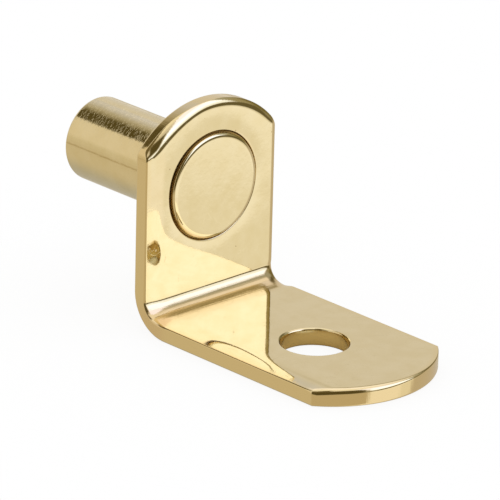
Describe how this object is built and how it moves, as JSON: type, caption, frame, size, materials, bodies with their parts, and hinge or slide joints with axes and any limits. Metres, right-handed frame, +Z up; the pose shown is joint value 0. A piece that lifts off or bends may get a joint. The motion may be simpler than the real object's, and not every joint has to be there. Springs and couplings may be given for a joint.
{
  "type": "shelf support pin",
  "caption": "Brass-plated L-shaped shelf support: round peg behind the upright leg, flat shelf leg with a screw hole.",
  "frame": {"origin": "on the peg's axis, at the back face of the upright leg, which lies against the cabinet wall", "axes": "+X along the shelf leg, away from the wall; -X along the peg, into the wall; +Z up; +Y across the plate"},
  "size_m": [0.0328, 0.0126, 0.0165],
  "materials": {
    "plate_brass": "polished brass plating on steel",
    "peg_brass": "polished brass plating on steel, lightly scratched round the peg"
  },
  "bodies": {
    "root": {"bracket": "plate_brass", "pin": "peg_brass"}
  },
  "joints": []
}
